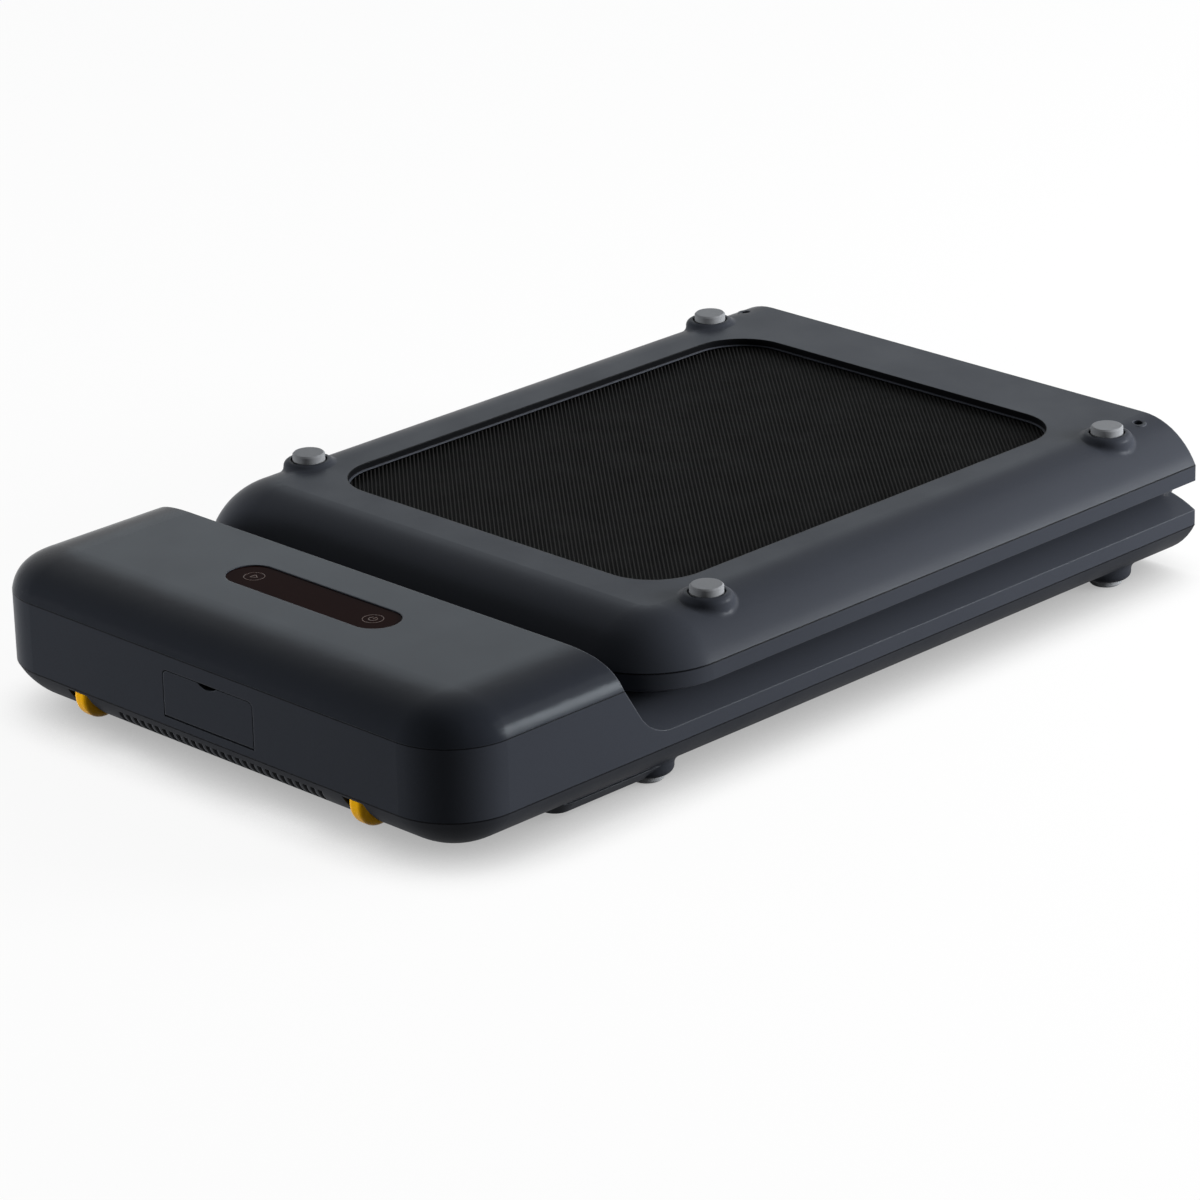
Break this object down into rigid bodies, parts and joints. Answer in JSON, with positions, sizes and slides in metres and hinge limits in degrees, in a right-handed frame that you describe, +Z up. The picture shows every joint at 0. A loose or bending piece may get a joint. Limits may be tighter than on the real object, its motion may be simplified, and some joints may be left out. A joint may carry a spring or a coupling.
{
  "type": "walking pad",
  "caption": "Folding under-desk walking pad, folded in half: a console with a display at the front, a rear deck hinged over the front deck, rubber feet and small transport wheels.",
  "frame": {"origin": "centre of the folded pad's footprint, on the floor", "axes": "+X across the pad, +Y from the console towards the hinge end, +Z up"},
  "size_m": [0.518, 0.833, 0.134],
  "materials": {
    "body_plastic": "fine satin moulded plastic",
    "cover_plastic": "smooth glossy moulded plastic",
    "display_glass": "dark tinted lens",
    "black_plastic": "moulded plastic",
    "steel": "black powder coat",
    "bright_steel": "turned steel",
    "brass": "plated contacts",
    "motor_paint": "painted can",
    "alloy": "extruded",
    "deck_wood": "dark laminated board",
    "belt_rubber": "diagonally ribbed belt",
    "foot_rubber": "matt grey rubber",
    "wheel_yellow": "smooth yellow wheel"
  },
  "bodies": {
    "front_half": {"front_bottom_pan": "body_plastic", "front_body_frame": "body_plastic", "console_top_cover": "cover_plastic", "display_window": "display_glass", "display_board": "black_plastic", "inlet_bay": "black_plastic", "door_hinge_pin": "bright_steel", "power_inlet": "black_plastic", "inlet_pins": "brass", "switch_bezel": "black_plastic", "drive_motor": "motor_paint", "motor_bracket": "steel", "drive_belt": "belt_rubber", "control_board": "black_plastic", "heat_sink": "alloy", "front_chassis": "steel", "front_deck_board": "deck_wood", "front_deck_cushions": "foot_rubber", "front_roller_axle": "bright_steel", "front_hinge_leaves": "steel", "hinge_pins": "bright_steel", "front_feet": "foot_rubber", "wheel_axles": "bright_steel", "walking_belt_front": "belt_rubber", "belt_fold_inner": "belt_rubber", "belt_fold_outer": "belt_rubber", "fold_bumpers": "foot_rubber", "front_cover_screws": "bright_steel"},
    "rear_half": {"rear_bottom_cover": "body_plastic", "rear_body_frame": "body_plastic", "rear_chassis": "steel", "rear_deck_board": "deck_wood", "rear_deck_cushions": "foot_rubber", "rear_roller_axle": "bright_steel", "tension_bolts": "bright_steel", "rear_hinge_leaves": "steel", "rear_feet": "foot_rubber", "walking_belt_rear": "belt_rubber", "rear_cover_screws": "bright_steel"},
    "inlet_door": {"inlet_door": "body_plastic"},
    "power_rocker": {"power_rocker": "black_plastic"},
    "motor_rotor": {"motor_rotor": "bright_steel"},
    "front_roller": {"front_roller": "bright_steel", "front_roller_bearings": "bright_steel", "front_roller_pulley": "bright_steel"},
    "wheel_left": {"wheel_left": "wheel_yellow"},
    "wheel_right": {"wheel_right": "wheel_yellow"},
    "front_idler": {"front_idler_roller": "bright_steel"},
    "front_guide": {"front_guide_roller": "bright_steel"},
    "rear_roller": {"rear_roller": "bright_steel", "rear_roller_bearings": "bright_steel"},
    "rear_idler": {"rear_idler_roller": "bright_steel"},
    "rear_guide": {"rear_guide_roller": "bright_steel"}
  },
  "joints": [
    {"name": "fold_hinge", "type": "hinge", "parent": "front_half", "child": "rear_half", "pos_m": [0, 0.4085, 0.067], "axis": [-1, 0, 0], "range_deg": [0, 180], "deforming": ["belt_fold_inner", "belt_fold_outer"]},
    {"name": "door_hinge", "type": "hinge", "parent": "front_half", "child": "inlet_door", "pos_m": [0, -0.4138, 0.0517], "axis": [1, 0, 0], "range_deg": [0, 90]},
    {"name": "rocker_pivot", "type": "hinge", "parent": "front_half", "child": "power_rocker", "pos_m": [0, -0.369, 0.0675], "axis": [1, 0, 0], "range_deg": [0, 16]},
    {"name": "drive_roller_spin", "type": "hinge", "parent": "front_half", "child": "front_roller", "pos_m": [0, -0.2565, 0.04095], "axis": [1, 0, 0], "continuous": true},
    {"name": "motor_spin", "type": "hinge", "parent": "front_half", "child": "motor_rotor", "pos_m": [0, -0.3115, 0.072], "axis": [1, 0, 0], "continuous": true},
    {"name": "front_idler_spin", "type": "hinge", "parent": "front_half", "child": "front_idler", "pos_m": [0, 0.3585, 0.0284], "axis": [1, 0, 0], "continuous": true},
    {"name": "front_guide_spin", "type": "hinge", "parent": "front_half", "child": "front_guide", "pos_m": [0, 0.3945, 0.051], "axis": [1, 0, 0], "continuous": true},
    {"name": "rear_roller_spin", "type": "hinge", "parent": "rear_half", "child": "rear_roller", "pos_m": [0, -0.1765, 0.09305], "axis": [1, 0, 0], "continuous": true},
    {"name": "rear_idler_spin", "type": "hinge", "parent": "rear_half", "child": "rear_idler", "pos_m": [0, 0.3585, 0.1056], "axis": [1, 0, 0], "continuous": true},
    {"name": "rear_guide_spin", "type": "hinge", "parent": "rear_half", "child": "rear_guide", "pos_m": [0, 0.3945, 0.083], "axis": [1, 0, 0], "continuous": true},
    {"name": "wheel_left_spin", "type": "hinge", "parent": "front_half", "child": "wheel_left", "pos_m": [0, -0.394, 0.0338], "axis": [1, 0, 0], "continuous": true},
    {"name": "wheel_right_spin", "type": "hinge", "parent": "front_half", "child": "wheel_right", "pos_m": [0, -0.394, 0.0338], "axis": [1, 0, 0], "continuous": true}
  ],
  "couplings": [
    {"joint": "motor_spin", "follows": "drive_roller_spin", "ratio": 1.473},
    {"joint": "front_idler_spin", "follows": "drive_roller_spin", "ratio": 2.1409},
    {"joint": "front_guide_spin", "follows": "drive_roller_spin", "ratio": -2.6167},
    {"joint": "rear_roller_spin", "follows": "drive_roller_spin", "ratio": 1},
    {"joint": "rear_idler_spin", "follows": "drive_roller_spin", "ratio": 2.1409},
    {"joint": "rear_guide_spin", "follows": "drive_roller_spin", "ratio": -2.6167}
  ]
}
